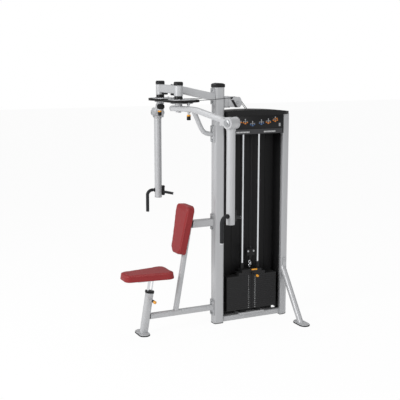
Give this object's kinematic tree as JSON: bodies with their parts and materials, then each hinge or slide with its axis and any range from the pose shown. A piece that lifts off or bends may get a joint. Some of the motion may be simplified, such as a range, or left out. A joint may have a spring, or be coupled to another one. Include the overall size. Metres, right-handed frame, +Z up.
{
  "type": "pectoral fly and rear deltoid machine",
  "caption": "Selectorised gym machine for chest fly and rear deltoid work: swinging arms on cams, padded seat and back, cables over sheaves to a weight stack in a tower.",
  "frame": {"origin": "on the floor under the centre of the main upright, on the face the upright stands on", "axes": "+Z up; -Y is the front, where the user sits; +Y is the weight tower; +X is the left-hand side of a seated user"},
  "size_m": [1.466, 1.507, 2.013],
  "materials": {
    "frame_paint": "satin silver-grey powder coat",
    "chrome_plate": "polished chrome plating",
    "black_plastic": "moulded black plastic",
    "black_paint": "matt black powder coat",
    "black_rubber": "black rubber",
    "plate_paint": "dark grey painted weight plates",
    "yellow_plastic": "yellow plastic",
    "pad_cover": "dark red vinyl upholstery",
    "cable_sheath": "black plastic sheath over a steel cable"
  },
  "bodies": {
    "frame": {"main_upright": "frame_paint", "boom_tube": "frame_paint", "pivot_crossbar": "frame_paint", "curved_brace": "frame_paint", "back_support_tube": "frame_paint", "back_link_tube": "frame_paint", "seat_tube": "frame_paint", "seat_beam": "frame_paint", "rear_upright": "frame_paint", "tower_base_beam": "frame_paint", "tower_top_plate": "frame_paint", "guide_bracket": "frame_paint", "pivot_housing_left": "frame_paint", "pivot_housing_right": "frame_paint", "stabiliser_leg_left": "frame_paint", "stabiliser_leg_right": "frame_paint", "guide_rod_front": "chrome_plate", "guide_rod_rear": "chrome_plate", "main_upright_cap": "black_plastic", "pivot_cap_left": "black_plastic", "pivot_cap_right": "black_plastic", "seat_collar": "black_plastic", "tower_top_cap": "black_plastic", "tower_header": "black_paint", "tower_shroud": "black_paint", "seat_foot_pad": "black_rubber", "leg_foot_pad_left": "black_rubber", "leg_foot_pad_right": "black_rubber", "resting_plates": "plate_paint", "back_pad": "pad_cover", "cable_left": "cable_sheath", "cable_right": "cable_sheath"},
    "cam_left": {"cam_left": "black_paint", "cam_shaft_left": "frame_paint"},
    "arm_left": {"swing_arm_left": "frame_paint", "hub_axle_left": "chrome_plate"},
    "drop_left": {"hang_tube_left": "frame_paint", "fly_grip_left": "black_rubber", "rear_grip_left": "black_rubber"},
    "index_pin_left": {"index_pin_left": "yellow_plastic"},
    "cam_right": {"cam_right": "black_paint", "cam_shaft_right": "frame_paint"},
    "arm_right": {"swing_arm_right": "frame_paint", "hub_axle_right": "chrome_plate"},
    "drop_right": {"hang_tube_right": "frame_paint", "fly_grip_right": "black_rubber", "rear_grip_right": "black_rubber"},
    "index_pin_right": {"index_pin_right": "yellow_plastic"},
    "seat": {"seat_post": "chrome_plate", "seat_pad": "pad_cover"},
    "seat_pin": {"seat_pin": "yellow_plastic"},
    "stack": {"head_plate": "plate_paint", "first_plate": "plate_paint", "lift_bracket": "black_paint"},
    "selector_pin": {"selector_pin": "yellow_plastic"},
    "add_on_lever": {"add_on_lever": "yellow_plastic"},
    "guide_sheave_left": {"guide_sheave_left": "black_plastic"},
    "guide_sheave_right": {"guide_sheave_right": "black_plastic"},
    "header_sheave": {"header_sheave": "black_plastic"}
  },
  "joints": [
    {"name": "swing_left", "type": "hinge", "parent": "frame", "child": "cam_left", "pos_m": [0.176, -0.428, 1.9], "axis": [0, 0, 1], "range_deg": [-80, 0]},
    {"name": "swing_right", "type": "hinge", "parent": "frame", "child": "cam_right", "pos_m": [-0.176, -0.428, 1.9], "axis": [0, 0, 1], "range_deg": [0, 80]},
    {"name": "arm_adjust_left", "type": "hinge", "parent": "cam_left", "child": "arm_left", "pos_m": [0.176, -0.428, 1.9], "axis": [0, 0, 1], "range_deg": [-16, 0]},
    {"name": "arm_adjust_right", "type": "hinge", "parent": "cam_right", "child": "arm_right", "pos_m": [-0.176, -0.428, 1.9], "axis": [0, 0, 1], "range_deg": [0, 16]},
    {"name": "drop_sway_left", "type": "hinge", "parent": "arm_left", "child": "drop_left", "pos_m": [0.67899, -0.23994, 1.728], "axis": [0.3502, -0.9367, 0], "range_deg": [-6, 20]},
    {"name": "drop_sway_right", "type": "hinge", "parent": "arm_right", "child": "drop_right", "pos_m": [-0.67899, -0.23994, 1.728], "axis": [0.3502, 0.9367, 0], "range_deg": [-6, 20]},
    {"name": "index_pin_left_pull", "type": "slide", "parent": "arm_left", "child": "index_pin_left", "axis": [0, 0, -1], "range_m": [0, 0.01], "stiffness_N_per_m": 1000, "springref_m": -0.005},
    {"name": "index_pin_right_pull", "type": "slide", "parent": "arm_right", "child": "index_pin_right", "axis": [0, 0, -1], "range_m": [0, 0.01], "stiffness_N_per_m": 1000, "springref_m": -0.005},
    {"name": "seat_height", "type": "slide", "parent": "frame", "child": "seat", "axis": [0, 0.1633, 0.9866], "range_m": [0, 0.15]},
    {"name": "seat_pin_pull", "type": "slide", "parent": "frame", "child": "seat_pin", "axis": [1, 0, 0], "range_m": [0, 0.01], "stiffness_N_per_m": 600, "springref_m": -0.005},
    {"name": "stack_lift", "type": "slide", "parent": "frame", "child": "stack", "axis": [0, 0, 1], "range_m": [0, 0.16], "deforming": ["cable_left", "cable_right"]},
    {"name": "selector_pin_pull", "type": "slide", "parent": "stack", "child": "selector_pin", "axis": [1, 0, 0], "range_m": [0, 0.11]},
    {"name": "add_on_lever_turn", "type": "hinge", "parent": "stack", "child": "add_on_lever", "pos_m": [0.022, 0.322, 0.44], "axis": [0, 0, -1], "range_deg": [0, 25]},
    {"name": "guide_sheave_left_spin", "type": "hinge", "parent": "frame", "child": "guide_sheave_left", "pos_m": [0.014, 0.16, 1.838], "axis": [1, 0, 0], "range_deg": [0, 215]},
    {"name": "guide_sheave_right_spin", "type": "hinge", "parent": "frame", "child": "guide_sheave_right", "pos_m": [-0.014, 0.16, 1.838], "axis": [1, 0, 0], "range_deg": [0, 215]},
    {"name": "header_sheave_spin", "type": "hinge", "parent": "frame", "child": "header_sheave", "pos_m": [0, 0.2655, 1.708], "axis": [1, 0, 0], "range_deg": [0, 215]}
  ],
  "couplings": [
    {"joint": "swing_right", "follows": "swing_left", "ratio": -1},
    {"joint": "stack_lift", "follows": "swing_left", "m_per_rad": -0.11},
    {"joint": "guide_sheave_left_spin", "follows": "swing_left", "ratio": -2.65},
    {"joint": "guide_sheave_right_spin", "follows": "swing_left", "ratio": -2.65},
    {"joint": "header_sheave_spin", "follows": "swing_left", "ratio": -2.65}
  ]
}
